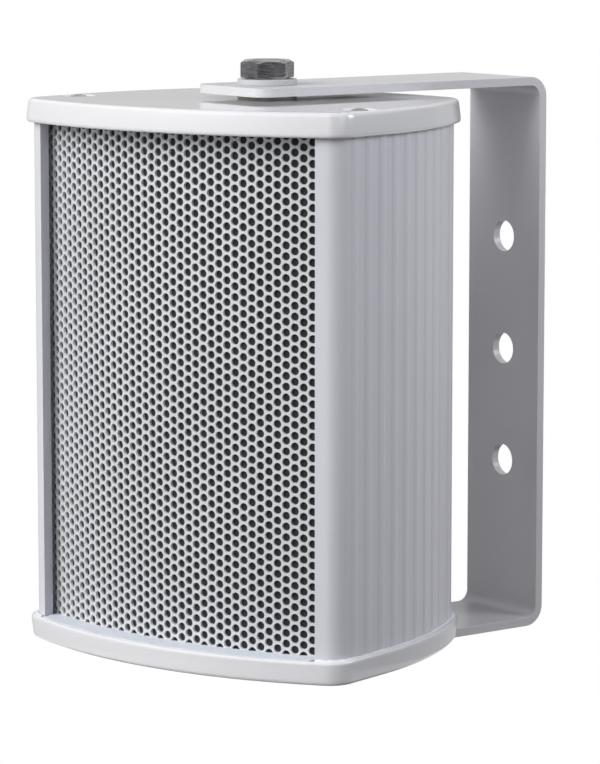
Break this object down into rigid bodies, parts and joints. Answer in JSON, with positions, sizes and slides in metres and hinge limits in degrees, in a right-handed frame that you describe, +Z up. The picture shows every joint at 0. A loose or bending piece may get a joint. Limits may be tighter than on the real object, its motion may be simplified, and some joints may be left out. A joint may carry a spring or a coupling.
{
  "type": "marine column speaker",
  "caption": "Weatherproof column loudspeaker with a bowed perforated grille and fluted cabinet, swivelling on a flat-bar U bracket.",
  "frame": {"origin": "on the wall face of the bracket's plate, at the centre of its middle fixing hole", "axes": "+Y points into the wall, +Z is up along the row of fixing holes, the speaker faces -Y when its swivel is straight"},
  "size_m": [0.1406, 0.1734, 0.2108],
  "materials": {
    "white_paint": "satin powder coat",
    "white_gloss": "gloss enamel",
    "grille_paint": "satin powder coat",
    "stainless": "bright",
    "zinc_plate": "dull zinc",
    "pale_washer": "satin",
    "pale_gasket": "matt",
    "black_rubber": "matt",
    "black_cloth": "woven",
    "black_paper": "matt",
    "woven_spider": "woven",
    "copper_wire": "enamelled",
    "ferrite": "matt",
    "iron_core": "dull",
    "winding_tape": "satin",
    "pale_plastic": "satin",
    "black_nylon": "satin",
    "black_steel": "satin",
    "fibreboard": "raw"
  },
  "bodies": {
    "bracket": {"mounting_bracket": "white_paint"},
    "head": {"cabinet_extrusion": "white_paint", "front_grille": "grille_paint", "top_cap": "white_gloss", "bottom_cap": "white_gloss", "top_cap_screws": "stainless", "bottom_cap_screws": "stainless", "top_bolt": "stainless", "bottom_bolt": "stainless", "top_washer": "pale_washer", "bottom_washer": "pale_washer", "top_spacer": "zinc_plate", "bottom_spacer": "zinc_plate", "top_pivot_nut": "zinc_plate", "bottom_pivot_nut": "zinc_plate", "gland_body": "black_nylon", "gland_seal": "black_rubber", "gland_cap": "black_nylon", "gland_locknut": "black_nylon", "grille_cloth": "black_cloth", "top_gasket": "pale_gasket", "bottom_gasket": "pale_gasket", "baffle": "fibreboard", "driver_gasket": "black_rubber", "driver_basket": "zinc_plate", "driver_screws": "black_steel", "top_plate": "zinc_plate", "magnet": "ferrite", "pole_piece": "zinc_plate", "transformer_core": "iron_core", "transformer_coil": "winding_tape", "transformer_strap": "zinc_plate", "transformer_screws": "stainless", "terminal_block": "pale_plastic", "terminal_screws": "stainless", "surround": "black_rubber", "spider": "woven_spider"},
    "cone_set": {"cone": "black_paper", "dust_cap": "black_paper", "voice_coil": "copper_wire"}
  },
  "joints": [
    {"name": "swivel", "type": "hinge", "parent": "bracket", "child": "head", "pos_m": [0, -0.107, 0], "axis": [0, 0, 1], "range_deg": [-105, 75]},
    {"name": "cone_travel", "type": "slide", "parent": "head", "child": "cone_set", "axis": [0.2588, -0.9659, 0], "range_m": [-0.0025, 0.0025], "stiffness_N_per_m": 1500, "deforming": ["surround", "spider"]}
  ]
}
